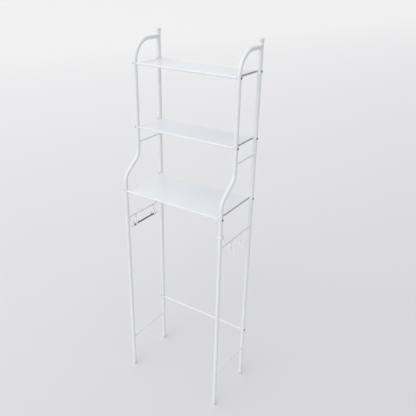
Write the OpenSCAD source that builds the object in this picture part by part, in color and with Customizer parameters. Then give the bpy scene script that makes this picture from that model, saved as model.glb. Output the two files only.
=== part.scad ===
// Free-standing three-shelf rack that straddles a toilet.
// Two welded tube side frames are tied together by the shelves' round bars and by a low back rail.
// The lower legs plug into the upper frames. A roll bar hangs in two hooks on the left side's low rod.
// Two towel hooks hang on the right side's low rod, and a clip with a hook grips the right front tube.
// Origin: on the floor, in the middle of the footprint. +X is the user's right, -Y the front, +Z up.

/* [Overall size] */
// Width over the two side frames
rack_w = 470; // [400:5:600]
// Depth over the legs
rack_d = 250; // [240:5:300]
// Height over the caps of the rear posts
rack_h = 1530; // [1520:5:1600]

/* [Side frames] */
// Outer diameter of the frame tube
tube_d = 16; // [15:0.5:16.5]
// Wall of the frame tube
tube_wall = 1; // [0.8:0.1:1.2]
// Depth of the narrow upper part, over its tubes
upper_d = 163; // [150:1:175]
// Height at which the S-bend in the front tube begins
bend_low_z = 958; // [950:1:965]
// Centreline radius of the S-bend
bend_r = 50; // [45:1:55]
// Height of the centreline of the top tube
top_tube_z = 1500; // [1495:1:1505]
// Centreline radius of the bend into the top tube
top_bend_r = 80; // [70:1:80]
// Height at which the lower legs meet the upper frames
split_z = 860; // [850:1:870]
// Diameter of the cross rods
rod_d = 6; // [5:0.5:7]
// Height of the cross rod above the S-bend
mid_rod_z = 1103; // [1095:1:1110]
// Height of the cross rod that carries hooks
low_rod_z = 792; // [780:1:800]
// Height of the cross rod near the floor
bottom_rod_z = 160; // [120:1:200]

/* [Shelves] */
// Height of the lowest shelf's bars
first_shelf_z = 917; // [915:1:920]
// Height from one shelf to the next
shelf_pitch = 249; // [246:1:250]
// Thickness of a shelf board
board_t = 7; // [5:0.5:8]
// Diameter of the bars along a board's long edges
bar_d = 10; // [9:0.5:11]
// Wall of those bars
bar_wall = 1; // [0.8:0.1:1.2]

/* [Back rail] */
// Height of the back rail
rail_z = 260; // [220:1:300]
// Diameter of the back rail
rail_d = 8; // [8:0.5:10]

/* [Fasteners and caps] */
// Diameter of the bolts
bolt_d = 4.9; // [4:0.1:5]
// Diameter of a bolt head
head_d = 9; // [8:0.5:10]
// Height of a bolt head
head_h = 2.8; // [2.5:0.1:3.5]
// Height of the cap on a rear post
cap_h = 14; // [10:1:16]
// Height of the foot on a leg
foot_h = 14; // [10:1:20]

/* [Hooks and roll bar] */
// Thickness of a hook's strip
hook_t = 4.5; // [4:0.1:5]
// Width of a hook's strip
hook_w = 6; // [5:0.5:7]
// Inside radius of a hook's crook
crook_r = 8.5; // [8:0.1:9]
// From the rod down to the middle of a towel hook's crook
hook_drop = 48; // [42:1:60]
// From the rod down to the middle of a roll hanger's crook
hanger_drop = 43; // [40:1:46]
// Place of the front towel hook along the rod
front_hook_y = -30; // [-50:1:-20]
// Place of the rear towel hook along the rod
rear_hook_y = 46; // [20:1:60]
// Place of the front roll hanger along the rod
front_hanger_y = -69; // [-72:1:-60]
// Place of the rear roll hanger along the rod
rear_hanger_y = 52; // [45:1:58]
// Diameter of the roll bar
roll_bar_d = 6.5; // [5:0.5:8]
// Diameter of the roll bar's end knobs
knob_d = 11; // [9:0.5:12]
// Height of the clip round the right front tube
clip_z = 843; // [835:1:860]
// Height of that clip's band
clip_h = 10; // [8:0.5:14]
// Direction in which the clip's hook points, from the right round to the rear
clip_turn = 50; // [0:1:90]

/* [Hidden] */
$fn = 48;

paint = [0.90, 0.93, 0.95];
board_paint = [0.87, 0.90, 0.91];
plastic = [0.90, 0.89, 0.96];
dark_steel = [0.20, 0.20, 0.22];
zinc = [0.70, 0.70, 0.72];

eps = 1;                                // how far a cut runs past the face that it leaves
fit = 0.05;                             // radial play between pieces that sit in each other
tube_r = tube_d / 2;
rod_r = rod_d / 2;
bar_r = bar_d / 2;
bolt_r = bolt_d / 2;
bolt_hole_r = bolt_r + 0.3;
post_x = rack_w / 2 - tube_r;           // middle of a side frame
front_y = tube_r - rack_d / 2;          // front leg
rear_y = -front_y;                      // rear post
upper_y = rear_y + tube_d - upper_d;    // front tube above the S-bend
shelf_z = [for (i = [0:2]) first_shelf_z + i * shelf_pitch];
shelf_front_y = [front_y, upper_y, upper_y];

// S-bend: two arcs joined by a straight slope that goes 4 back for every 3 up, so that its ends
// fall on round numbers
slope = [4, 3] / 5;
slope_len = (upper_y - front_y - 2 * bend_r * (1 - slope[1])) / slope[0];
bend_high_z = bend_low_z + 2 * bend_r * slope[0] + slope_len * slope[1];

// Caps and feet are cups over a tube's end
cup_wall = 0.9;
cup_end = 3;                            // thickness of a cup's closed end
cup_round = 2;                          // radius round the edge of that end

// Joint sleeves, and the threaded plugs in the bars' ends
sleeve_len = 70;
bar_gap = 0.1;                          // from a bar's end to the tube beside it
bar_end_x = post_x - tube_r - bar_gap;
plug_len = 22;
bolt_grip = 16;                         // how far a bolt runs inside a bar or rail
board_gap = 1.5;                        // from a board's end to the tube beside it

// Hooks, drawn with the ring's middle at their origin and the crook opening towards +X
ring_in = rod_r + 0.08;
ring_out = ring_in + 3.2;
ring_mouth = 4.4;
stem_x = -2;
crook_out = crook_r + hook_t;
crook_mid = crook_r + hook_t / 2;
crook_x = stem_x + crook_mid;
crook_end = 35;                         // angle at which the crook's tip stands, above its middle
tip_r = hook_t / 2 + 0.5;               // the tip is a little thicker than the strip
towel_hook_tilt = 1;                    // the snap ring's grip keeps a towel hook all but plumb
hanger_tilt = 11;                       // brings the roll bar's weight under the rod

// Clip with a hook, drawn with the tube's middle at its origin and the hook on its +X side
clip_in = tube_r + fit;
clip_out = clip_in + 3.5;
clip_mouth = 11;
clip_hook_w = 8;                        // width of its hook's strip
clip_crook_r = 5.5;                     // inside radius of its crook
clip_reach = 20;                        // from the tube's middle out to the crook's middle
clip_drop = 9.5;                        // from the band's middle down to the crook's middle

// Roll bar, lying in the bottom of both hangers' crooks
bar_play = 0.3;
roll_bar_r = roll_bar_d / 2;
roll_x = hanger_drop * sin(hanger_tilt) - crook_x * cos(hanger_tilt) - post_x;
roll_z = low_rod_z - hanger_drop * cos(hanger_tilt) - crook_x * sin(hanger_tilt)
    - crook_r + roll_bar_r + bar_play;
knob_len = 14;
knob_seat = 7;                          // how far the bar goes into a knob
knob_front_y = -93;
knob_rear_y = 80;
roll_bar_y = [knob_front_y + knob_len - knob_seat, knob_rear_y - knob_len + knob_seat];

// Points along an arc in the plane
function arc(x, y, r, from, to, steps = 6) =
    [for (i = [0:steps]) let (a = from + (to - from) * i / steps) [x + r * cos(a), y + r * sin(a)]];

// ---------- tools ----------

// Left frame (side -1) or right frame (side 1), with its children drawn round the frame's middle
module on_side(side) {
    translate([side * post_x, 0, 0]) children();
}

// Draws in the frame's own plane: drawn X is depth and drawn Y is height
module in_frame_plane() {
    rotate([90, 0, 90]) children();
}

// Cylinder along X, centred on the origin
module along_x(r, h) {
    rotate([0, 90, 0]) cylinder(r = r, h = h, center = true);
}

// Cylinder along Y between two depths
module along_y(r, y0, y1) {
    translate([0, y0, 0]) rotate([-90, 0, 0]) cylinder(r = r, h = y1 - y0);
}

// Cylinder from one height to another
module upright(r, z0, z1) {
    translate([0, 0, z0]) cylinder(r = r, h = z1 - z0);
}

// Holes right through a tube along X, at the given heights
module bolt_holes(y, heights) {
    for (z = heights) translate([0, y, z]) along_x(bolt_hole_r, tube_d + 2 * eps);
}

// ---------- side frames ----------

// Straight tube with bolt holes
module straight_tube(y, z0, z1, heights) {
    color(paint) difference() {
        translate([0, y, 0]) upright(tube_r, z0, z1);
        translate([0, y, 0]) upright(tube_r - tube_wall, z0 - eps, z1 + eps);
        bolt_holes(y, heights);
    }
}

// Ring that the frame tube is drawn from
module tube_section() {
    difference() {
        circle(r = tube_r);
        circle(r = tube_r - tube_wall);
    }
}

// Straight stretch in the frame plane from a point, at an angle from level
module stretch(y, z, angle, length) {
    translate([y, z, 0]) rotate([0, 0, angle]) rotate([0, 90, 0])
        linear_extrude(height = length) tube_section();
}

// Arc from upright to the slope, round the origin of the frame plane
module slope_bend() {
    far = 2 * bend_r;
    intersection() {
        rotate_extrude() translate([bend_r, 0]) tube_section();
        translate([0, 0, -tube_d]) linear_extrude(height = 2 * tube_d)
            polygon([[0, 0], [-far, 0], [-far, far], far * [-slope[1], slope[0]]]);
    }
}

// Whole line of the front upper tube, from the joint to the rear post's middle
module upper_line() {
    slope_y = front_y + bend_r * (1 - slope[1]);
    slope_z = bend_low_z + bend_r * slope[0];
    top_bend_z = top_tube_z - top_bend_r;
    in_frame_plane() {
        stretch(front_y, split_z, 90, bend_low_z - split_z);
        translate([front_y + bend_r, bend_low_z]) slope_bend();
        stretch(slope_y, slope_z, atan2(slope[1], slope[0]), slope_len);
        translate([upper_y - bend_r, bend_high_z]) rotate(180) slope_bend();
        stretch(upper_y, bend_high_z, 90, top_bend_z - bend_high_z);
        translate([upper_y + top_bend_r, top_bend_z]) rotate(90)
            rotate_extrude(angle = 90) translate([top_bend_r, 0]) tube_section();
        stretch(upper_y + top_bend_r, top_tube_z, 0, rear_y - upper_y - top_bend_r);
    }
}

// Front tube above the joint: S-bend back, then a quarter bend into the top tube
module front_upper_tube(side) {
    on_side(side) color(paint) difference() {
        upper_line();
        translate([0, rear_y, 0]) upright(tube_r + fit, top_tube_z - tube_d, top_tube_z + tube_d);
        bolt_holes(front_y, [shelf_z[0]]);
        bolt_holes(upper_y, [shelf_z[1], shelf_z[2]]);
    }
}

module rear_post(side) {
    on_side(side) straight_tube(rear_y, split_z, rack_h - cup_end, shelf_z);
}

module front_leg(side) {
    on_side(side) straight_tube(front_y, cup_end, split_z, []);
}

module rear_leg(side) {
    on_side(side) straight_tube(rear_y, cup_end, split_z, [rail_z]);
}

// Cross rod, coped to the tubes that it is welded to
module cross_rod(side, y, z) {
    on_side(side) color(paint) difference() {
        translate([0, 0, z]) along_y(rod_r, y, rear_y);
        translate([0, y, 0]) upright(tube_r + fit, z - tube_d, z + tube_d);
        translate([0, rear_y, 0]) upright(tube_r + fit, z - tube_d, z + tube_d);
    }
}

// Short inner tubes that join the legs to the upper frame
module joint_sleeves(side) {
    outer = tube_r - tube_wall - fit;
    on_side(side) color(zinc) for (y = [front_y, rear_y])
        translate([0, y, 0]) difference() {
            upright(outer, split_z - sleeve_len / 2, split_z + sleeve_len / 2);
            upright(outer - tube_wall, split_z - sleeve_len / 2 - eps, split_z + sleeve_len / 2 + eps);
        }
}

// Cup over a tube's end, closed end down on the plane z = 0
module cup(height) {
    outer = tube_r + fit + cup_wall;
    color(plastic) difference() {
        rotate_extrude() polygon(concat(
            [[0, 0]],
            arc(outer - cup_round, cup_round, cup_round, -90, 0),
            [[outer, height], [0, height]]
        ));
        upright(tube_r + fit, cup_end, height + eps);
    }
}

module foot(side, y) {
    on_side(side) translate([0, y, 0]) cup(foot_h);
}

module post_cap(side) {
    on_side(side) translate([0, rear_y, rack_h]) mirror([0, 0, 1]) cup(cap_h);
}

// ---------- shelves ----------

// Board whose long edges are coved to lie against the two bars
module shelf_board(i) {
    half_w = post_x - tube_r - board_gap;
    depth = rear_y - shelf_front_y[i];
    color(board_paint) difference() {
        translate([-half_w, shelf_front_y[i], shelf_z[i] - board_t / 2]) cube([2 * half_w, depth, board_t]);
        for (y = [shelf_front_y[i], rear_y])
            translate([0, y, shelf_z[i]]) along_x(bar_r + fit, 2 * half_w + 2 * eps);
    }
}

// Tube along a board's long edge, from one side frame to the other
module shelf_bar(i, y) {
    color(paint) translate([0, y, shelf_z[i]]) difference() {
        along_x(bar_r, 2 * bar_end_x);
        along_x(bar_r - bar_wall, 2 * bar_end_x + 2 * eps);
    }
}

// Threaded plugs pressed into the ends of both bars
module shelf_bar_plugs(i) {
    middle = bar_end_x - plug_len / 2;
    color(zinc) for (y = [shelf_front_y[i], rear_y], side = [-1, 1])
        translate([side * middle, y, shelf_z[i]]) difference() {
            along_x(bar_r - bar_wall - fit, plug_len);
            along_x(bolt_r + fit, plug_len + 2 * eps);
        }
}

// Bolt that enters a side frame from outside: head on the frame's outer face, shank along -X
module bolt() {
    under_head = post_x + tube_r + fit;
    tip = bar_end_x - bolt_grip;
    dome_r = head_d / 2 - 1;
    color(dark_steel) difference() {
        union() {
            translate([tip, 0, 0]) rotate([0, 90, 0]) cylinder(r = bolt_r, h = under_head - tip + fit);
            translate([under_head, 0, 0]) rotate([0, 90, 0]) rotate_extrude() polygon(concat(
                [[0, 0], [head_d / 2, 0]],
                arc(dome_r, head_h - 1.6, 1, 0, 60),
                [[1.6, head_h], [0, head_h]]
            ));
        }
        translate([under_head + head_h - 1.5, 0, 0]) rotate([0, 90, 0]) cylinder(d = 3.4, h = 3, $fn = 6);
    }
}

module bolts(y_list, z) {
    for (y = y_list) translate([0, y, z]) {
        bolt();
        mirror([1, 0, 0]) bolt();
    }
}

module shelf_bolts(i) {
    bolts([shelf_front_y[i], rear_y], shelf_z[i]);
}

// ---------- back rail ----------

// Solid rail between the rear legs, its ends drilled and tapped
module back_rail() {
    color(paint) translate([0, rear_y, rail_z]) difference() {
        along_x(rail_d / 2, 2 * bar_end_x);
        for (side = [-1, 1]) translate([side * bar_end_x, 0, 0]) along_x(bolt_r + fit, 2 * bolt_grip + 4);
    }
}

module back_rail_bolts() {
    bolts([rear_y], rail_z);
}

// ---------- hooks and roll bar ----------

// Crook that opens upwards, drawn round its middle, with its tip on the +X side
module crook(inside = crook_r) {
    far = 2 * (inside + hook_t);
    difference() {
        circle(r = inside + hook_t);
        circle(r = inside);
        polygon([[0, 0], far * [cos(crook_end), sin(crook_end)], [far, far], [-far, far], [-far, 0]]);
    }
    rotate(crook_end) translate([inside + hook_t / 2, 0]) circle(r = tip_r);
}

// Side view of a hook for a rod: a snap ring, a stem straight down, and a crook
module hook_outline(drop) {
    stem_top = -ring_in - 1.2;
    difference() {
        circle(r = ring_out);
        circle(r = ring_in);
        translate([-ring_out - eps, -ring_mouth / 2]) square([ring_out + eps, ring_mouth]);
    }
    translate([stem_x - hook_t / 2, -drop]) square([hook_t, drop + stem_top]);
    translate([crook_x, -drop]) crook();
}

// Hook hanging on the Y axis by its ring, leaned over so that its load is under the rod
module hook(drop, tilt) {
    color(plastic) rotate([90, tilt, 0]) linear_extrude(height = hook_w, center = true)
        hook_outline(drop);
}

module towel_hook(y) {
    on_side(1) translate([0, y, low_rod_z]) hook(hook_drop, towel_hook_tilt);
}

// Hanger for the roll bar, its crook open on the outer side
module roll_hanger(y) {
    on_side(-1) translate([0, y, low_rod_z]) mirror([1, 0, 0]) hook(hanger_drop, hanger_tilt);
}

// Split band that grips the right front tube, with an arm and a crook on its outer side
module post_hook() {
    arm_x = clip_reach - clip_crook_r - hook_t;
    on_side(1) translate([0, front_y, clip_z]) rotate([0, 0, clip_turn]) color(plastic) {
        linear_extrude(height = clip_h, center = true) difference() {
            circle(r = clip_out);
            circle(r = clip_in);
            translate([-clip_out - eps, -clip_mouth / 2]) square([clip_out + eps, clip_mouth]);
        }
        rotate([90, 0, 0]) linear_extrude(height = clip_hook_w, center = true) {
            translate([arm_x, -clip_drop]) square([hook_t, clip_drop + clip_h / 2]);
            translate([clip_reach, -clip_drop]) crook(clip_crook_r);
        }
    }
}

module roll_bar() {
    color(dark_steel) translate([roll_x, 0, roll_z]) along_y(roll_bar_r, roll_bar_y[0], roll_bar_y[1]);
}

// Knob on one end of the roll bar, its closed end facing away from the bar
module roll_knob(end_y, towards_bar) {
    color(plastic) translate([roll_x, end_y, roll_z]) rotate([-90 * towards_bar, 0, 0]) difference() {
        rotate_extrude() polygon(concat(
            [[0, 0]],
            arc(knob_d / 2 - 1.8, 1.8, 1.8, -90, 0),
            arc(knob_d / 2 - 1, knob_len - 1, 1, 0, 90),
            [[0, knob_len]]
        ));
        upright(roll_bar_r + fit, knob_len - knob_seat, knob_len + eps);
    }
}

// ---------- sub-parts ----------

module left_front_upper_tube() { front_upper_tube(-1); }
module left_rear_post() { rear_post(-1); }
module left_front_leg() { front_leg(-1); }
module left_rear_leg() { rear_leg(-1); }
module left_mid_rod() { cross_rod(-1, upper_y, mid_rod_z); }
module left_low_rod() { cross_rod(-1, front_y, low_rod_z); }
module left_bottom_rod() { cross_rod(-1, front_y, bottom_rod_z); }
module left_joint_sleeves() { joint_sleeves(-1); }
module left_post_cap() { post_cap(-1); }
module left_front_foot() { foot(-1, front_y); }
module left_rear_foot() { foot(-1, rear_y); }

module right_front_upper_tube() { front_upper_tube(1); }
module right_rear_post() { rear_post(1); }
module right_front_leg() { front_leg(1); }
module right_rear_leg() { rear_leg(1); }
module right_mid_rod() { cross_rod(1, upper_y, mid_rod_z); }
module right_low_rod() { cross_rod(1, front_y, low_rod_z); }
module right_bottom_rod() { cross_rod(1, front_y, bottom_rod_z); }
module right_joint_sleeves() { joint_sleeves(1); }
module right_post_cap() { post_cap(1); }
module right_front_foot() { foot(1, front_y); }
module right_rear_foot() { foot(1, rear_y); }

module bottom_shelf_board() { shelf_board(0); }
module bottom_shelf_front_bar() { shelf_bar(0, front_y); }
module bottom_shelf_rear_bar() { shelf_bar(0, rear_y); }
module bottom_shelf_bar_plugs() { shelf_bar_plugs(0); }
module bottom_shelf_bolts() { shelf_bolts(0); }
module middle_shelf_board() { shelf_board(1); }
module middle_shelf_front_bar() { shelf_bar(1, upper_y); }
module middle_shelf_rear_bar() { shelf_bar(1, rear_y); }
module middle_shelf_bar_plugs() { shelf_bar_plugs(1); }
module middle_shelf_bolts() { shelf_bolts(1); }
module top_shelf_board() { shelf_board(2); }
module top_shelf_front_bar() { shelf_bar(2, upper_y); }
module top_shelf_rear_bar() { shelf_bar(2, rear_y); }
module top_shelf_bar_plugs() { shelf_bar_plugs(2); }
module top_shelf_bolts() { shelf_bolts(2); }

module front_roll_hanger() { roll_hanger(front_hanger_y); }
module rear_roll_hanger() { roll_hanger(rear_hanger_y); }
module front_roll_knob() { roll_knob(knob_front_y, 1); }
module rear_roll_knob() { roll_knob(knob_rear_y, -1); }
module front_towel_hook() { towel_hook(front_hook_y); }
module rear_towel_hook() { towel_hook(rear_hook_y); }

left_front_upper_tube();
left_rear_post();
left_front_leg();
left_rear_leg();
left_mid_rod();
left_low_rod();
left_bottom_rod();
left_joint_sleeves();
left_post_cap();
left_front_foot();
left_rear_foot();
right_front_upper_tube();
right_rear_post();
right_front_leg();
right_rear_leg();
right_mid_rod();
right_low_rod();
right_bottom_rod();
right_joint_sleeves();
right_post_cap();
right_front_foot();
right_rear_foot();
bottom_shelf_board();
bottom_shelf_front_bar();
bottom_shelf_rear_bar();
bottom_shelf_bar_plugs();
bottom_shelf_bolts();
middle_shelf_board();
middle_shelf_front_bar();
middle_shelf_rear_bar();
middle_shelf_bar_plugs();
middle_shelf_bolts();
top_shelf_board();
top_shelf_front_bar();
top_shelf_rear_bar();
top_shelf_bar_plugs();
top_shelf_bolts();
back_rail();
back_rail_bolts();
front_roll_hanger();
rear_roll_hanger();
roll_bar();
front_roll_knob();
rear_roll_knob();
front_towel_hook();
rear_towel_hook();
post_hook();
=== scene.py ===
"""Looks of the over-the-toilet storage rack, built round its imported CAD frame.

Every visible CAD node is replaced by a finer mesh of the same size in the same place. The joint
sleeves and the bar plugs, which sit inside the tubes, keep their CAD shape. Lengths are in metres.
"""
import math

import bmesh
import bpy
from mathutils import Matrix, Vector

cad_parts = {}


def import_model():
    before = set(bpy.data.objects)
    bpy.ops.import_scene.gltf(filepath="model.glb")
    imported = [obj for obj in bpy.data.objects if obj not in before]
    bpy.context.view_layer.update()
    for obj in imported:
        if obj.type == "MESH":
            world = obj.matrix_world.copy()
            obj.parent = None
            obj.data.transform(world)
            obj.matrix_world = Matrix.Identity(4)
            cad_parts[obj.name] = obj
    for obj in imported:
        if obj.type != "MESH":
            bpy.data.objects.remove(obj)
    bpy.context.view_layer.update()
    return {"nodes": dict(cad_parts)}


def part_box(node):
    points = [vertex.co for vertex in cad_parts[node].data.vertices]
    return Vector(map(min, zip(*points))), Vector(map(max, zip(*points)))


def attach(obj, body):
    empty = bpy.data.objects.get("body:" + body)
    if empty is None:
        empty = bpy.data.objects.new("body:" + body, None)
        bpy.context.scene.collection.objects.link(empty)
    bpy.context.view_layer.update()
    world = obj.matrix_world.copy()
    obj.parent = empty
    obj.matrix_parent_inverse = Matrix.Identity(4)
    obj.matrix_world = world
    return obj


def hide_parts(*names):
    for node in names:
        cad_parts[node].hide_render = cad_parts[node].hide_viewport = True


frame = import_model()

MM = 0.001
SIDES = (("left", -1), ("right", 1))
SHELVES = ("bottom", "middle", "top")


# ---------- sizes read from the frame ----------

def centre(node):
    """Middle of a CAD node's box."""
    low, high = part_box(node)
    return (low + high) / 2


def size(node):
    """Lengths of a CAD node's box."""
    low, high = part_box(node)
    return high - low


TUBE_R = size("left_front_leg").x / 2
ROD_R = size("left_low_rod").x / 2
BAR_R = size("top_shelf_front_bar").z / 2
RAIL_R = size("back_rail").z / 2
BOARD_T = size("top_shelf_board").z
CUP_R = size("left_front_foot").x / 2
ROLL_BAR_R = size("roll_bar").x / 2
KNOB_R = size("front_roll_knob").x / 2
POST_X = centre("right_front_leg").x
FRONT_Y = centre("right_front_leg").y
REAR_Y = centre("right_rear_leg").y
UPPER_Y = centre("top_shelf_front_bar").y
SPLIT_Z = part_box("right_front_leg")[1].z
LEG_LOW_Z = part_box("right_front_leg")[0].z
TOP_TUBE_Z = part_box("right_front_upper_tube")[1].z - TUBE_R
POST_TOP_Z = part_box("right_rear_post")[1].z
LOW_ROD_Z = centre("left_low_rod").z
BAR_END_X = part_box("top_shelf_front_bar")[1].x

# Sizes that a box doesn't tell
TUBE_WALL = 1 * MM
BEND_LOW_Z = 0.958                # where the S-bend begins
BEND_R = 0.050                    # its centreline radius
BEND_ANGLE = math.acos(0.6)       # its lean from upright
TOP_BEND_R = 0.080                # centreline radius of the bend into the top tube
HOOK_T = 4.5 * MM
HOOK_W = 6 * MM
CROOK_R = 8.5 * MM                # inside radius of a crook
CROOK_END = math.radians(35)      # angle at which a crook's tip stands
RING_IN = 3.08 * MM
RING_OUT = 6.28 * MM
RING_MOUTH = 4.4 * MM
STEM_X = -2 * MM
TOWEL_HOOK_DROP = 0.048
TOWEL_HOOK_TILT = math.radians(1)
HANGER_DROP = 0.043
HANGER_TILT = math.radians(11)
CLIP_IN = TUBE_R + 0.05 * MM      # a snug fit on the tube
CLIP_OUT = CLIP_IN + 3.5 * MM
CLIP_MOUTH = 11 * MM
CLIP_H = 10 * MM
CLIP_HOOK_W = 8 * MM
CLIP_CROOK_R = 5.5 * MM
CLIP_REACH = 0.020
CLIP_DROP = 0.0095
CLIP_TURN = math.radians(50)
CLIP_Z = 0.843
CLEARANCE = 0.05 * MM             # room between a part and what it lies against
AXIS_R = 0.05 * MM                # small disc that closes a turned solid on its axis
MOULDED_EDGE = 0.9 * MM           # rounding of the moulded hooks
OUTLINE_STEP = 0.45 * MM          # spacing of the points of a hook's outline
OUTLINE_EASE = 4                  # rounds of easing over an outline's corners
BOLT_REACH = 16 * MM              # how far a bolt goes past a bar's end


# ---------- node materials ----------

def new_material(name):
    """An empty node material with its Principled shader."""
    mat = bpy.data.materials.new(name)
    mat.use_nodes = True
    return mat, mat.node_tree, mat.node_tree.nodes["Principled BSDF"]


def noise(tree, scale, detail=3.0, roughness=0.5, stretch=(1, 1, 1)):
    """Noise in the object's own coordinates; stretch over 1 packs it closer along that axis."""
    coords = tree.nodes.new("ShaderNodeTexCoord")
    mapping = tree.nodes.new("ShaderNodeMapping")
    mapping.inputs["Scale"].default_value = stretch
    tex = tree.nodes.new("ShaderNodeTexNoise")
    tex.inputs["Scale"].default_value = scale
    tex.inputs["Detail"].default_value = detail
    tex.inputs["Roughness"].default_value = roughness
    tree.links.new(coords.outputs["Object"], mapping.inputs["Vector"])
    tree.links.new(mapping.outputs["Vector"], tex.inputs["Vector"])
    return tex.outputs["Fac"]


def ramp(tree, value, stops):
    """Colour ramp through (position, colour) stops; a plain number stands for a grey."""
    node = tree.nodes.new("ShaderNodeValToRGB")
    elements = node.color_ramp.elements
    while len(elements) < len(stops):
        elements.new(0.5)
    for element, (place, colour) in zip(elements, stops):
        element.position = place
        grey = isinstance(colour, (int, float))
        element.color = (colour, colour, colour, 1) if grey else (*colour, 1)
    tree.links.new(value, node.inputs["Fac"])
    return node.outputs["Color"]


def shade(colour, factor):
    """A colour made lighter or darker."""
    return tuple(min(1.0, c * factor) for c in colour)


def bumps(tree, bsdf, layers):
    """Stacked bump layers: (height socket, strength, distance)."""
    below = None
    for height, strength, distance in layers:
        bump = tree.nodes.new("ShaderNodeBump")
        bump.inputs["Strength"].default_value = strength
        bump.inputs["Distance"].default_value = distance
        tree.links.new(height, bump.inputs["Height"])
        if below is not None:
            tree.links.new(below, bump.inputs["Normal"])
        below = bump.outputs["Normal"]
    tree.links.new(below, bsdf.inputs["Normal"])


def powder_coat(name, colour, roughness):
    """White powder coat: faint clouding, orange peel, fine specks and uneven gloss."""
    mat, tree, bsdf = new_material(name)
    cloud = noise(tree, 14, detail=4)
    base = ramp(tree, cloud, [(0.3, shade(colour, 0.97)), (0.7, shade(colour, 1.02))])
    tree.links.new(base, bsdf.inputs["Base Color"])
    gloss = noise(tree, 60, detail=5, roughness=0.65)
    low, high = roughness - 0.06, roughness + 0.08
    tree.links.new(ramp(tree, gloss, [(0.35, low), (0.7, high)]), bsdf.inputs["Roughness"])
    bumps(tree, bsdf, [
        (noise(tree, 700, detail=2), 0.18, 0.15 * MM),
        (noise(tree, 2600, detail=1), 0.10, 0.05 * MM),
    ])
    bsdf.inputs["Coat Weight"].default_value = 0.25
    bsdf.inputs["Coat Roughness"].default_value = 0.12
    return mat


def board_film(name, colour):
    """Smooth pale board: very soft clouding, a fine pebbled film and faint rub marks along X."""
    mat, tree, bsdf = new_material(name)
    cloud = noise(tree, 6, detail=5, roughness=0.6)
    base = ramp(tree, cloud, [(0.25, shade(colour, 0.985)), (0.75, shade(colour, 1.015))])
    tree.links.new(base, bsdf.inputs["Base Color"])
    rub = noise(tree, 35, detail=6, roughness=0.7, stretch=(0.25, 2.5, 2.5))
    tree.links.new(ramp(tree, rub, [(0.35, 0.30), (0.72, 0.36)]), bsdf.inputs["Roughness"])
    bumps(tree, bsdf, [
        (noise(tree, 30, detail=2), 0.02, 0.2 * MM),
        (noise(tree, 1500, detail=2), 0.08, 0.04 * MM),
    ])
    bsdf.inputs["Coat Weight"].default_value = 0.3
    bsdf.inputs["Coat Roughness"].default_value = 0.1
    return mat


def dark_end_face(name, colour):
    """Darker end face of a board: coarse flecks, a denser skin and a rough face."""
    mat, tree, bsdf = new_material(name)
    fleck = noise(tree, 900, detail=5, roughness=0.7, stretch=(1, 0.3, 1.6))
    base = ramp(tree, fleck, [(0.3, shade(colour, 0.7)), (0.7, shade(colour, 1.3))])
    tree.links.new(base, bsdf.inputs["Base Color"])
    tree.links.new(ramp(tree, fleck, [(0.3, 0.75), (0.7, 0.92)]), bsdf.inputs["Roughness"])
    bumps(tree, bsdf, [(fleck, 0.4, 0.1 * MM), (noise(tree, 2200, detail=2), 0.2, 0.05 * MM)])
    return mat


def moulded_plastic(name, colour):
    """Moulded white plastic: flow marks, a satin grain and a slight depth."""
    mat, tree, bsdf = new_material(name)
    flow = noise(tree, 45, detail=4, stretch=(1, 1, 0.4))
    base = ramp(tree, flow, [(0.3, shade(colour, 0.95)), (0.7, shade(colour, 1.02))])
    tree.links.new(base, bsdf.inputs["Base Color"])
    satin = noise(tree, 220, detail=4)
    tree.links.new(ramp(tree, satin, [(0.3, 0.30), (0.75, 0.46)]), bsdf.inputs["Roughness"])
    bumps(tree, bsdf, [(noise(tree, 1800, detail=2), 0.15, 0.05 * MM)])
    bsdf.inputs["Subsurface Weight"].default_value = 0.6
    bsdf.inputs["Subsurface Radius"].default_value = (0.9, 0.85, 1.0)
    bsdf.inputs["Subsurface Scale"].default_value = 4 * MM
    return mat


def metal(name, colour, roughness, metallic, stretch):
    """Bare metal with fine drawn or turned lines along the axis that stretch leaves short."""
    mat, tree, bsdf = new_material(name)
    lines = noise(tree, 500, detail=5, roughness=0.7, stretch=stretch)
    stain = noise(tree, 70, detail=4)
    base = ramp(tree, stain, [(0.3, shade(colour, 0.75)), (0.75, shade(colour, 1.25))])
    tree.links.new(base, bsdf.inputs["Base Color"])
    low, high = roughness - 0.08, roughness + 0.12
    tree.links.new(ramp(tree, lines, [(0.3, low), (0.75, high)]), bsdf.inputs["Roughness"])
    bumps(tree, bsdf, [(lines, 0.2, 0.03 * MM)])
    bsdf.inputs["Metallic"].default_value = metallic
    return mat


PAINT = powder_coat("white_powder_coat", (0.83, 0.86, 0.885), 0.34)
BOARD = board_film("pale_board_film", (0.855, 0.895, 0.92))
PLASTIC = moulded_plastic("moulded_white_plastic", (0.93, 0.90, 0.99))
EDGE = dark_end_face("dark_board_end", (0.45, 0.42, 0.40))
DARK = metal("dark_steel", (0.12, 0.12, 0.12), 0.36, 0.6, (1, 0.05, 1))
BOLT = metal("bolt_steel", (0.22, 0.21, 0.21), 0.38, 0.7, (1, 1, 1))
ZINC = metal("zinc_plate", (0.62, 0.63, 0.66), 0.34, 1.0, (0.1, 1, 1))


# ---------- mesh tools ----------

def make_object(name, verts, faces, mat, sharp=35):
    """Closed mesh from points and faces, smooth except at edges sharper than an angle."""
    mesh = bpy.data.meshes.new(name)
    mesh.from_pydata([tuple(v) for v in verts], [], faces)
    work = bmesh.new()
    work.from_mesh(mesh)
    bmesh.ops.recalc_face_normals(work, faces=work.faces)
    work.to_mesh(mesh)
    work.free()
    mesh.shade_smooth()
    mesh.set_sharp_from_angle(angle=math.radians(sharp))
    mesh.materials.append(mat)
    obj = bpy.data.objects.new(name, mesh)
    bpy.context.scene.collection.objects.link(obj)
    return obj


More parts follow.
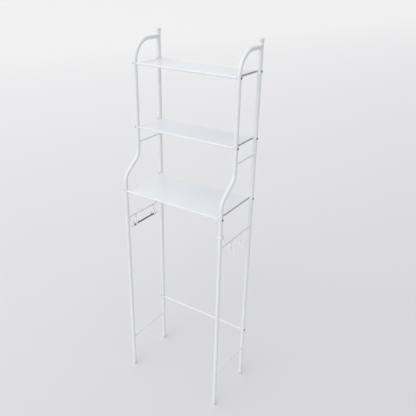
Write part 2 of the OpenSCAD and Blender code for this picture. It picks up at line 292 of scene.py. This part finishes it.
def loft(rings, closed=False, caps=True):
    """Faces between rings of equally many points; closed joins the last ring to the first."""
    count = len(rings[0])
    verts = [p for ring in rings for p in ring]
    faces = []
    spans = len(rings) if closed else len(rings) - 1
    for i in range(spans):
        a, b = i * count, (i + 1) % len(rings) * count
        for j in range(count):
            k = (j + 1) % count
            faces.append((a + j, a + k, b + k, b + j))
    if caps and not closed:
        faces.append(tuple(range(count)))
        faces.append(tuple(range(len(verts) - count, len(verts))))
    return verts, faces


def merge(parts):
    """One list of points and faces from several."""
    verts, faces = [], []
    for part_verts, part_faces in parts:
        start = len(verts)
        verts += part_verts
        faces += [tuple(i + start for i in face) for face in part_faces]
    return verts, faces


def moved(part, matrix):
    """A part's points and faces with its points transformed."""
    verts, faces = part
    return [matrix @ Vector(v) for v in verts], faces


def turn_angles(steps):
    """Evenly spaced angles of a full turn."""
    return [2 * math.pi * k / steps for k in range(steps)]


def ring_round(point, radius, steps):
    """Ring of points round a line along Y."""
    return [
        point + radius * Vector((math.cos(t), 0, math.sin(t)))
        for t in turn_angles(steps)
    ]


def turned(profile, steps=48):
    """Solid of revolution about Z from (radius, height) points, its ends closed."""
    return loft([
        [Vector((radius * math.cos(t), radius * math.sin(t), height)) for t in turn_angles(steps)]
        for radius, height in profile
    ])


def arc(x, y, radius, start, end, steps):
    """Points on an arc in the plane, angles in radians."""
    return [
        (x + radius * math.cos(a), y + radius * math.sin(a))
        for a in (start + (end - start) * i / steps for i in range(steps + 1))
    ]


def path_frames(path, side):
    """At each point of a flat path: the point, the plane's normal and the direction across it."""
    frames = []
    for i, point in enumerate(path):
        before, after = path[max(i - 1, 0)], path[min(i + 1, len(path) - 1)]
        along = (after - before).normalized()
        frames.append((point, side, along.cross(side).normalized()))
    return frames


def pipe(path, side, outer, inner, edge=0.3 * MM, steps=48):
    """Hollow tube along a flat path, with a small rounded edge at each end."""
    frames = path_frames(path, side)

    def ring(i, radius, push=0.0):
        point, a, b = frames[i]
        shift = a.cross(b).normalized() * push
        return [
            point + shift + radius * (math.cos(t) * a + math.sin(t) * b)
            for t in turn_angles(steps)
        ]

    last = len(frames) - 1
    rings = [ring(0, outer - edge)]
    inward = 1 if (frames[0][1].cross(frames[0][2])).dot(path[1] - path[0]) > 0 else -1
    rings.append(ring(0, outer, inward * edge))
    rings += [ring(i, outer) for i in range(1, last)]
    rings.append(ring(last, outer, -inward * edge))
    rings.append(ring(last, outer - edge))
    rings += [ring(i, inner) for i in range(last, -1, -1)]
    return loft(rings, closed=True)


def straight(start, end, count=2):
    """Evenly spaced points from start to end."""
    return [start.lerp(end, i / (count - 1)) for i in range(count)]


def finish_piece(obj, body, slot, *nodes):
    """Rides a finished piece on its body and lets it stand for its CAD nodes."""
    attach(obj, body)
    if nodes:
        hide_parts(*nodes)
    return obj


# ---------- side frames ----------

def upper_path(x):
    """Centreline of a front upper tube, from the leg's top to the rear post."""
    ahead = 1 - math.cos(BEND_ANGLE)
    slope_start_z = BEND_LOW_Z + BEND_R * math.sin(BEND_ANGLE)
    slope_y = UPPER_Y - FRONT_Y - 2 * BEND_R * ahead
    slope_z = slope_y / math.tan(BEND_ANGLE)
    high_z = slope_start_z + slope_z + BEND_R * math.sin(BEND_ANGLE)
    steps = 20
    line = [Vector((x, FRONT_Y, SPLIT_Z))]
    line += [Vector((x, y, z)) for y, z in arc(
        FRONT_Y + BEND_R, BEND_LOW_Z, BEND_R, math.pi, math.pi - BEND_ANGLE, steps)]
    line += [Vector((x, y, z)) for y, z in arc(
        UPPER_Y - BEND_R, high_z, BEND_R, -BEND_ANGLE, 0, steps)]
    line += [Vector((x, y, z)) for y, z in arc(
        UPPER_Y + TOP_BEND_R, TOP_TUBE_Z - TOP_BEND_R, TOP_BEND_R, math.pi, math.pi / 2, 28)]
    line.append(Vector((x, REAR_Y - TUBE_R * 0.6, TOP_TUBE_Z)))
    return line


def saddle_bead(x, y, z, rod_r, towards, bead_r, seed):
    """Weld bead round a rod where it meets an upright tube; towards is +1 or -1 along Y."""
    rings = []
    turns, around = 72, 10
    for t in turn_angles(turns):
        reach = math.sqrt(max(TUBE_R ** 2 - (rod_r * math.cos(t)) ** 2, 0))
        ripple = 1 + 0.10 * math.sin(9 * t + seed) + 0.06 * math.sin(17 * t + 2 * seed)
        middle = Vector((x + rod_r * math.cos(t), y + towards * reach, z + rod_r * math.sin(t)))
        out = Vector((math.cos(t), 0, math.sin(t)))
        back = Vector((0, towards, 0))
        rings.append([
            middle + bead_r * ripple * (math.cos(s) * out + math.sin(s) * back)
            for s in turn_angles(around)
        ])
    return loft(rings, closed=True)


def side_frames():
    """Tubes, cross rods and weld beads of both side frames."""
    across = Vector((1, 0, 0))
    inner = TUBE_R - TUBE_WALL
    sink = TUBE_R * 0.85          # how far a rod's end hides in its tube
    for name, side in SIDES:
        x = side * POST_X
        uprights = (
            ("rear_post", REAR_Y, SPLIT_Z, POST_TOP_Z),
            ("front_leg", FRONT_Y, LEG_LOW_Z, SPLIT_Z),
            ("rear_leg", REAR_Y, LEG_LOW_Z, SPLIT_Z),
        )
        for piece, y, low, high in uprights:
            path = straight(Vector((x, y, low)), Vector((x, y, high)), 9)
            obj = make_object(f"{name}_{piece}_tube", *pipe(path, across, TUBE_R, inner), PAINT)
            finish_piece(obj, "frame", "white_paint", f"{name}_{piece}")
        bent = pipe(upper_path(x), across, TUBE_R, inner)
        obj = make_object(f"{name}_front_upper_bent_tube", *bent, PAINT)
        finish_piece(obj, "frame", "white_paint", f"{name}_front_upper_tube")

        beads = []
        for rod, y in (("mid_rod", UPPER_Y), ("low_rod", FRONT_Y), ("bottom_rod", FRONT_Y)):
            z = centre(f"{name}_{rod}").z
            path = straight(Vector((x, y + sink, z)), Vector((x, REAR_Y - sink, z)), 9)
            solid = loft([ring_round(p, ROD_R, 32) for p in path])
            obj = make_object(f"{name}_{rod}_round", *solid, PAINT)
            finish_piece(obj, "frame", "white_paint", f"{name}_{rod}")
            beads.append(saddle_bead(x, y, z, ROD_R, 1, 1.1 * MM, 3 * z + side))
            beads.append(saddle_bead(x, REAR_Y, z, ROD_R, -1, 1.1 * MM, 5 * z + side))
        beads.append(saddle_bead(x, REAR_Y, TOP_TUBE_Z, TUBE_R * 0.96, -1, 1.5 * MM, 2 + side))
        obj = make_object(f"{name}_weld_beads", *merge(beads), PAINT)
        finish_piece(obj, "frame", "white_paint")


# ---------- caps and feet ----------

def cup_profile(height):
    """Cup over a tube's end: closed end down, a rounded foot, a faint waist and a rolled lip."""
    r, lip = CUP_R, 0.25 * MM
    bore, base, corner = TUBE_R + 0.02 * MM, 3 * MM, 2 * MM
    return (
        [(AXIS_R, 0.25 * MM), (r * 0.55, 0.2 * MM), (r * 0.72, 0)]
        + arc(r - corner, corner, corner, -math.pi / 2, 0, 8)
        + [(r - 0.12 * MM, height * 0.45), (r - 0.05 * MM, height - 2.2 * MM)]
        + arc(r - lip, height - 0.9 * MM, 2 * lip, -math.pi / 3, math.pi / 2, 8)
        + [(bore, height - 0.3 * MM), (bore, base), (AXIS_R, base)]
    )


def caps_and_feet():
    """Plastic cups on the rear posts' tops and under the legs."""
    for name, side in SIDES:
        x = side * POST_X
        foot_h = size(f"{name}_front_foot").z
        for foot, y in (("front_foot", FRONT_Y), ("rear_foot", REAR_Y)):
            cup = moved(turned(cup_profile(foot_h)), Matrix.Translation((x, y, 0)))
            obj = make_object(f"{name}_{foot}_cup", *cup, PLASTIC)
            finish_piece(obj, "frame", "white_plastic", f"{name}_{foot}")
        low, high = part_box(f"{name}_post_cap")
        place = Matrix.Translation((x, REAR_Y, high.z)) @ Matrix.Rotation(math.pi, 4, "X")
        cup = moved(turned(cup_profile(high.z - low.z)), place)
        obj = make_object(f"{name}_post_cap_cup", *cup, PLASTIC)
        finish_piece(obj, "frame", "white_plastic", f"{name}_post_cap")


# ---------- shelves and rail ----------

def board_mesh(name, y0, y1, z, half_w):
    """Board with coved long edges that lie against the bars, and softened ends."""
    cove = BAR_R + CLEARANCE
    half_t = BOARD_T / 2
    lean = math.asin(half_t / cove)
    soft, bevel = 0.5 * MM, 0.15 * MM
    section = arc(y0, z, cove, -lean, lean, 12)
    section += arc(y1, z, cove, math.pi - lean, math.pi + lean, 12)
    rings = []
    for x, inset in (
        (-half_w, soft), (-half_w + bevel, 0.2 * soft), (-half_w + soft, 0),
        (half_w - soft, 0), (half_w - bevel, 0.2 * soft), (half_w, soft),
    ):
        thinner = 1 - inset / half_t
        rings.append([Vector((x, y, z + (level - z) * thinner)) for y, level in section])
    board = make_object(name, *loft(rings), BOARD, sharp=50)
    # The board's two end faces, across X, take the darker end material
    board.data.materials.append(EDGE)
    for face in board.data.polygons:
        face.material_index = int(abs(face.normal.x) > 0.9)
    return board


def round_bar(x_end, y, z, radius, wall):
    """Tube along X between the side frames, its ends slightly rounded."""
    path = straight(Vector((-x_end, y, z)), Vector((x_end, y, z)), 9)
    return pipe(path, Vector((0, 0, 1)), radius, radius - wall)


def shelves_and_rail():
    """Three boards between their two bars, and the back rail."""
    for shelf in SHELVES:
        z = centre(f"{shelf}_shelf_board").z
        half_w = size(f"{shelf}_shelf_board").x / 2
        front = centre(f"{shelf}_shelf_front_bar").y
        obj = board_mesh(f"{shelf}_board_panel", front, REAR_Y, z, half_w)
        finish_piece(obj, "frame", "board", f"{shelf}_shelf_board")
        for bar, y in (("front_bar", front), ("rear_bar", REAR_Y)):
            obj = make_object(
                f"{shelf}_{bar}_tube", *round_bar(BAR_END_X, y, z, BAR_R, TUBE_WALL), PAINT)
            finish_piece(obj, "frame", "white_paint", f"{shelf}_shelf_{bar}")
    rail_z = centre("back_rail").z
    bore = 2.5 * MM
    obj = make_object(
        "back_rail_round", *round_bar(BAR_END_X, REAR_Y, rail_z, RAIL_R, RAIL_R - bore), PAINT)
    finish_piece(obj, "frame", "white_paint", "back_rail")


# ---------- bolts ----------

def bolt_part(shank_len):
    """Button-head bolt along +Z: shank below, domed head on top with a hexagonal socket."""
    head_r, head_h, shank_r = 4.5 * MM, 2.8 * MM, 2.45 * MM
    rim, soft, point = 0.7 * MM, 0.2 * MM, 0.8 * MM
    socket_r, socket_depth, steps = 1.75 * MM, 1.5 * MM, 48
    outline = [(0.6 * shank_r, -shank_len), (shank_r, -shank_len + point), (shank_r, 0)]
    outline += [(head_r - soft, 0), (head_r, soft), (head_r, rim)]
    outline += [
        (head_r * math.cos(a), rim + (head_h - rim) * math.sin(a))
        for a in (math.radians(d) for d in (10, 20, 30, 40, 50, 58))
    ]
    rings = [
        [Vector((r * math.cos(t), r * math.sin(t), h)) for t in turn_angles(steps)]
        for r, h in outline
    ]
    top = outline[-1][1]
    for radius, height in (
        (socket_r, top + 0.1 * MM),
        (socket_r, top - socket_depth),
        (AXIS_R, top - socket_depth - 0.5 * MM),
    ):
        rings.append([
            Vector((hexagon(t, radius) * math.cos(t), hexagon(t, radius) * math.sin(t), height))
            for t in turn_angles(steps)
        ])
    return loft(rings)


def hexagon(angle, radius):
    """Distance from a hexagon's middle to its side in a direction; radius is to its corners."""
    sector = (angle + math.pi / 6) % (math.pi / 3) - math.pi / 6
    return radius * math.cos(math.pi / 6) / math.cos(sector - math.copysign(math.pi / 6, sector))


def bolt_group(name, node, places, z):
    """Bolts through both side frames at the given depths, as one piece."""
    under_head = POST_X + TUBE_R + CLEARANCE
    shank_len = under_head - (BAR_END_X - BOLT_REACH)
    part = bolt_part(shank_len)
    parts = []
    for y in places:
        for side in (-1, 1):
            # Each socket stands at its own angle, as after tightening by hand
            spin = Matrix.Rotation(math.radians(17 * (side + 2) + 400 * y + 90 * z), 4, "Z")
            turn = Matrix.Rotation(side * math.pi / 2, 4, "Y")
            parts.append(moved(part, Matrix.Translation((side * under_head, y, z)) @ turn @ spin))
    obj = make_object(name, *merge(parts), BOLT, sharp=30)
    finish_piece(obj, "frame", "dark_steel", node)


def bolts():
    """Every bolt of the rack."""
    for shelf in SHELVES:
        z = centre(f"{shelf}_shelf_board").z
        front = centre(f"{shelf}_shelf_front_bar").y
        bolt_group(f"{shelf}_button_bolts", f"{shelf}_shelf_bolts", (front, REAR_Y), z)
    bolt_group("rail_button_bolts", "back_rail_bolts", (REAR_Y,), centre("back_rail").z)


# ---------- hooks ----------

def evenly(points, spacing, rounds):
    """A closed outline resampled evenly, then eased so that its corners become small fillets."""
    closed = [Vector(p) for p in points]
    lengths = [(closed[(i + 1) % len(closed)] - p).length for i, p in enumerate(closed)]
    total = sum(lengths)
    count = max(12, round(total / spacing))
    result, i, passed = [], 0, 0.0
    for k in range(count):
        target = total * k / count
        while passed + lengths[i] < target:
            passed += lengths[i]
            i += 1
        part = (target - passed) / lengths[i] if lengths[i] else 0
        result.append(closed[i].lerp(closed[(i + 1) % len(closed)], part))
    for _ in range(rounds):
        result = [
            p * 0.5 + (result[k - 1] + result[(k + 1) % count]) * 0.25
            for k, p in enumerate(result)
        ]
    return result


def pillow(outline, width, edge):
    """Flat outline in the plane, thickened to a width along Z with rounded edges."""
    count = len(outline)
    area = sum(p.cross(outline[(k + 1) % count]) for k, p in enumerate(outline))
    turn = 1 if area > 0 else -1
    inward, tight = [], []
    for k, p in enumerate(outline):
        before, after = p - outline[k - 1], outline[(k + 1) % count] - p
        along = (before + after).normalized()
        inward.append(Vector((-along.y, along.x)) * turn)
        bend = math.asin(max(-1, min(1, turn * before.normalized().cross(after.normalized()))))
        radius = (before.length + after.length) / 2 / max(bend, 0.001)
        tight.append(min(1, 0.7 * radius / edge))
    # Less rounding near tight corners, so that the inner rings don't cross themselves
    near = [min(tight[(k + d) % count] for d in range(-3, 4)) for k in range(count)]
    near = [sum(near[(k + d) % count] for d in range(-2, 3)) / 5 for k in range(count)]
    rings = []
    steps = 5
    for half in (-1, 1):
        for i in range(steps + 1):
            a = math.pi / 2 * (i / steps if half < 0 else 1 - i / steps)
            height = half * (width / 2 - edge * (1 - math.cos(a)))
            rings.append([
                Vector((p.x, p.y, height)) + n.to_3d() * edge * (1 - math.sin(a)) * scale
                for p, n, scale in zip(outline, inward, near)
            ])
    return loft(rings)


def crook_outline(x, y, arm_left, arm_right, inside=CROOK_R):
    """Arm down to a crook round (x, y) and back up; its two sides start at their own heights."""
    outer = inside + HOOK_T
    mid = inside + HOOK_T / 2
    tip_r = HOOK_T / 2 + 0.5 * MM
    crook_stop = 2 * math.pi + CROOK_END - 0.1
    points = [(x - inside, arm_right)]
    points += arc(x, y, inside, math.pi, crook_stop, 40)
    tip = (x + mid * math.cos(CROOK_END), y + mid * math.sin(CROOK_END))
    points += arc(*tip, tip_r, CROOK_END + math.pi * 0.88, CROOK_END + math.pi * 0.12, 14)
    points += arc(x, y, outer, crook_stop, math.pi, 48)
    points.append((x - outer, arm_left))
    return points


def rod_hook_outline(drop):
    """Snap ring round the origin, a stem down and a crook that opens upwards."""
    out_gap = math.asin(RING_MOUTH / 2 / RING_OUT)
    in_gap = math.asin(RING_MOUTH / 2 / RING_IN)
    stem_right, stem_left = STEM_X + HOOK_T / 2, STEM_X - HOOK_T / 2
    right_a = -math.acos(stem_right / RING_OUT)
    left_a = -math.acos(stem_left / RING_OUT)
    right_y = RING_OUT * math.sin(right_a)
    left_y = RING_OUT * math.sin(left_a)
    points = arc(0, 0, RING_OUT, math.pi - out_gap, right_a, 40)
    crook_x = STEM_X + CROOK_R + HOOK_T / 2
    points += crook_outline(crook_x, -drop, left_y, right_y)[1:-1]
    points += arc(0, 0, RING_OUT, left_a, -math.pi + out_gap, 6)
    points += arc(0, 0, RING_IN, in_gap - math.pi, math.pi - in_gap, 36)
    return evenly(points, OUTLINE_STEP, OUTLINE_EASE)


def rod_hook(drop, tilt, mirrored):
    """Hook hanging on a rod along Y through the origin."""
    upright = Matrix.Rotation(math.pi / 2, 4, "X")
    lean = Matrix.Rotation(tilt, 4, "Y")
    flip = Matrix.Scale(-1 if mirrored else 1, 4, (1, 0, 0))
    return moved(pillow(rod_hook_outline(drop), HOOK_W, MOULDED_EDGE), flip @ lean @ upright)


def rod_hooks():
    """The two towel hooks on the right and the two hangers of the roll bar on the left."""
    for node, side, drop, tilt in (
        ("front_towel_hook", 1, TOWEL_HOOK_DROP, TOWEL_HOOK_TILT),
        ("rear_towel_hook", 1, TOWEL_HOOK_DROP, TOWEL_HOOK_TILT),
        ("front_roll_hanger", -1, HANGER_DROP, HANGER_TILT),
        ("rear_roll_hanger", -1, HANGER_DROP, HANGER_TILT),
    ):
        place = Matrix.Translation((side * POST_X, centre(node).y, LOW_ROD_Z))
        part = moved(rod_hook(drop, tilt, side < 0), place)
        obj = make_object(f"{node}_moulding", *part, PLASTIC, sharp=60)
        finish_piece(obj, node, "white_plastic", node)


def join_solids(obj, other):
    """Unites two overlapping closed meshes into one."""
    unite = obj.modifiers.new("unite", "BOOLEAN")
    unite.operation = "UNION"
    unite.solver = "MANIFOLD"
    unite.object = other
    bpy.context.view_layer.update()
    united = obj.evaluated_get(bpy.context.evaluated_depsgraph_get())
    ready = bpy.data.meshes.new_from_object(united)
    obj.modifiers.clear()
    obj.data = ready
    bpy.data.objects.remove(other)


def tube_clip():
    """Split band round the right front tube with an arm and a crook on its outer side."""
    out_gap = math.asin(CLIP_MOUTH / 2 / CLIP_OUT)
    in_gap = math.asin(CLIP_MOUTH / 2 / CLIP_IN)
    band = arc(0, 0, CLIP_OUT, math.pi - out_gap, out_gap - math.pi, 64)
    band += arc(0, 0, CLIP_IN, in_gap - math.pi, math.pi - in_gap, 56)
    band_part = pillow(evenly(band, 0.5 * MM, 3), CLIP_H, 0.8 * MM)

    top = CLIP_H / 2 - 0.2 * MM
    outline = crook_outline(CLIP_REACH, -CLIP_DROP, top, top, CLIP_CROOK_R)
    arm_part = moved(
        pillow(evenly(outline, OUTLINE_STEP, OUTLINE_EASE), CLIP_HOOK_W, MOULDED_EDGE),
        Matrix.Rotation(math.pi / 2, 4, "X"))

    place = Matrix.Translation((POST_X, FRONT_Y, CLIP_Z)) @ Matrix.Rotation(CLIP_TURN, 4, "Z")
    obj = make_object("post_hook_moulding", *moved(band_part, place), PLASTIC, sharp=60)
    arm = make_object("post_hook_arm", *moved(arm_part, place), PLASTIC, sharp=60)
    join_solids(obj, arm)
    finish_piece(obj, "post_hook", "white_plastic", "post_hook")


# ---------- roll bar ----------

def roll_bar():
    """Dark bar in the hangers, with a rounded knob pushed on each end."""
    low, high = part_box("roll_bar")
    x, z = centre("roll_bar").x, centre("roll_bar").z
    edge = 0.4 * MM
    profile = [(AXIS_R, 0), (ROLL_BAR_R - edge, 0), (ROLL_BAR_R, edge)]
    length = high.y - low.y
    profile += [(ROLL_BAR_R, length * k / 8) for k in range(1, 8)]
    profile += [(ROLL_BAR_R, length - edge), (ROLL_BAR_R - edge, length), (AXIS_R, length)]
    along_y = Matrix.Rotation(-math.pi / 2, 4, "X")
    part = moved(turned(profile, 40), Matrix.Translation((x, low.y, z)) @ along_y)
    obj = make_object("roll_bar_round", *part, DARK)
    finish_piece(obj, "roll_bar", "dark_steel", "roll_bar")

    knob_len = size("front_roll_knob").y
    bore = ROLL_BAR_R + 0.03 * MM
    knob = (
        [(AXIS_R, 0), (0.026 * MM, 0.00013 * MM), (2.2 * MM, 0.12 * MM)]
        + arc(KNOB_R - 2.2 * MM, 2.4 * MM, 2.2 * MM, -math.pi / 2.4, 0, 8)
        + [(KNOB_R, 5 * MM), (KNOB_R - 0.35 * MM, 5.6 * MM), (KNOB_R - 0.35 * MM, 6.6 * MM)]
        + [(KNOB_R, 7.2 * MM), (KNOB_R, knob_len - 1.2 * MM)]
        + arc(KNOB_R - 1 * MM, knob_len - 1 * MM, 1 * MM, 0, math.pi / 2, 6)
        + [(bore, knob_len), (bore, knob_len / 2), (AXIS_R, knob_len / 2)]
    )
    for node, towards in (("front_roll_knob", 1), ("rear_roll_knob", -1)):
        low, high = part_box(node)
        end = low.y if towards > 0 else high.y
        turn = Matrix.Rotation(-towards * math.pi / 2, 4, "X")
        part = moved(turned(knob), Matrix.Translation((x, end, z)) @ turn)
        obj = make_object(f"{node}_moulding", *part, PLASTIC)
        finish_piece(obj, "roll_bar", "white_plastic", node)


# ---------- hidden pieces ----------

def hidden_pieces():
    """The joint sleeves and the bar plugs keep their CAD shape."""
    names = [f"{name}_joint_sleeves" for name, _ in SIDES]
    names += [f"{shelf}_shelf_bar_plugs" for shelf in SHELVES]
    for name in names:
        node = frame["nodes"][name]
        node.data.materials.clear()
        node.data.materials.append(ZINC)


# ---------- stage, light and camera ----------

BACKDROP = 0.86                   # grey seen past the floor's far edge
FLOOR_R = 60
CAMERA_AT = (1.0764, -1.5599, 1.7661)
CAMERA_YAW = math.radians(33.854)
CAMERA_PITCH = math.radians(26.012)
CAMERA_ROLL = math.radians(0.700)
CAMERA_LENS = 44.36               # for a sensor 36 mm wide
CAMERA_SHIFT = (0.0336, 0.0080)


def floor():
    """Wide pale floor with painted shade: its colour grows slowly lighter towards the rack's left,
    with an uneven sheen.
    """
    mat, tree, bsdf = new_material("pale_floor_painted_shade")
    coords = tree.nodes.new("ShaderNodeTexCoord")
    along = tree.nodes.new("ShaderNodeVectorMath")
    along.operation = "DOT_PRODUCT"
    along.inputs[1].default_value = Vector((-0.95, 0.30, 0))
    spread = tree.nodes.new("ShaderNodeMapRange")
    spread.inputs["From Min"].default_value = -3.0
    spread.inputs["From Max"].default_value = 9.0
    tree.links.new(coords.outputs["Object"], along.inputs[0])
    tree.links.new(along.outputs["Value"], spread.inputs["Value"])
    # Painted shade: the floor's colour darkens towards the rack's right and front, where less
    # light falls
    tone = ramp(tree, spread.outputs["Result"], [
        (0.0, (0.65, 0.65, 0.67)), (0.25, (0.77, 0.77, 0.79)), (0.5, (0.85, 0.85, 0.87)),
        (1.0, (0.95, 0.95, 0.96)),
    ])
    tree.links.new(tone, bsdf.inputs["Base Color"])
    patch = noise(tree, 1.2, detail=4)
    tree.links.new(ramp(tree, patch, [(0.3, 0.72), (0.7, 0.82)]), bsdf.inputs["Roughness"])
    bsdf.inputs["Specular IOR Level"].default_value = 0.2
    rings = [
        [Vector((r * math.cos(t), r * math.sin(t), z)) for t in turn_angles(96)]
        for r, z in ((FLOOR_R - 0.1, -0.02), (FLOOR_R, -0.01), (FLOOR_R - 0.01, 0))
    ]
    make_object("floor", *loft(rings), mat)


def world():
    """Pale surroundings, brighter above and to the front left than behind on the right.

    Glossy rays see tones of their own, and what the camera sees past the floor is one even tone.
    """
    scene_world = bpy.data.worlds.new("studio")
    bpy.context.scene.world = scene_world
    scene_world.use_nodes = True
    tree = scene_world.node_tree
    back = tree.nodes["Background"]
    coords = tree.nodes.new("ShaderNodeTexCoord")
    dot = tree.nodes.new("ShaderNodeVectorMath")
    dot.operation = "DOT_PRODUCT"
    dot.inputs[1].default_value = Vector((-0.52, -0.78, 0.35)).normalized()
    spread = tree.nodes.new("ShaderNodeMapRange")
    spread.inputs["From Min"].default_value = -1.0
    spread.inputs["From Max"].default_value = 1.0
    tree.links.new(coords.outputs["Generated"], dot.inputs[0])
    tree.links.new(dot.outputs["Value"], spread.inputs["Value"])
    tones = ramp(tree, spread.outputs["Result"], [(0.0, 0.18), (0.5, 0.59), (1.0, 0.84)])
    mirrored = ramp(tree, spread.outputs["Result"], [
        (0.0, 0.20), (0.22, 0.45), (0.38, 0.88), (1.0, 0.92),
    ])
    plain = ramp(tree, spread.outputs["Result"], [(0.0, BACKDROP), (1.0, BACKDROP)])
    paths = tree.nodes.new("ShaderNodeLightPath")
    seen = tones
    for output, tone in (("Is Glossy Ray", mirrored), ("Is Camera Ray", plain)):
        choose = tree.nodes.new("ShaderNodeMix")
        choose.data_type = "RGBA"
        tree.links.new(tone, choose.inputs["B"])
        tree.links.new(paths.outputs[output], choose.inputs["Factor"])
        tree.links.new(seen, choose.inputs["A"])
        seen = choose.outputs["Result"]
    tree.links.new(seen, back.inputs["Color"])
    back.inputs["Strength"].default_value = 1.0


def soft_sun(name, azimuth, height, strength, spread):
    """Even light from far away; azimuth is that of the light seen from the rack, in degrees."""
    data = bpy.data.lights.new(name, "SUN")
    data.energy = strength
    data.angle = math.radians(spread)
    obj = bpy.data.objects.new(name, data)
    az, el = math.radians(azimuth), math.radians(height)
    source = Vector((math.cos(az) * math.cos(el), math.sin(az) * math.cos(el), math.sin(el)))
    obj.rotation_euler = source.to_track_quat("Z", "Y").to_euler()
    obj.location = source * 5
    bpy.context.scene.collection.objects.link(obj)


def camera():
    """Camera at the photograph's viewing angle."""
    level = Vector((math.cos(CAMERA_YAW), math.sin(CAMERA_YAW), 0))
    ahead = Vector((
        -math.sin(CAMERA_YAW) * math.cos(CAMERA_PITCH),
        math.cos(CAMERA_YAW) * math.cos(CAMERA_PITCH),
        -math.sin(CAMERA_PITCH),
    ))
    upward = level.cross(ahead)
    right = math.cos(CAMERA_ROLL) * level + math.sin(CAMERA_ROLL) * upward
    up = -math.sin(CAMERA_ROLL) * level + math.cos(CAMERA_ROLL) * upward
    data = bpy.data.cameras.new("camera")
    data.sensor_width = 36
    data.lens = CAMERA_LENS
    data.shift_x, data.shift_y = CAMERA_SHIFT
    data.dof.use_dof = False
    obj = bpy.data.objects.new("camera", data)
    turn = Matrix((right, up, -ahead)).transposed().to_4x4()
    obj.matrix_world = Matrix.Translation(CAMERA_AT) @ turn
    bpy.context.scene.collection.objects.link(obj)
    bpy.context.scene.camera = obj


side_frames()
caps_and_feet()
shelves_and_rail()
bolts()
rod_hooks()
tube_clip()
roll_bar()
hidden_pieces()
floor()
world()
soft_sun("key", -94, 30, 0.62, 60)
soft_sun("ceiling", -120, 78, 0.65, 80)
camera()
bpy.context.scene.view_settings.view_transform = "Standard"
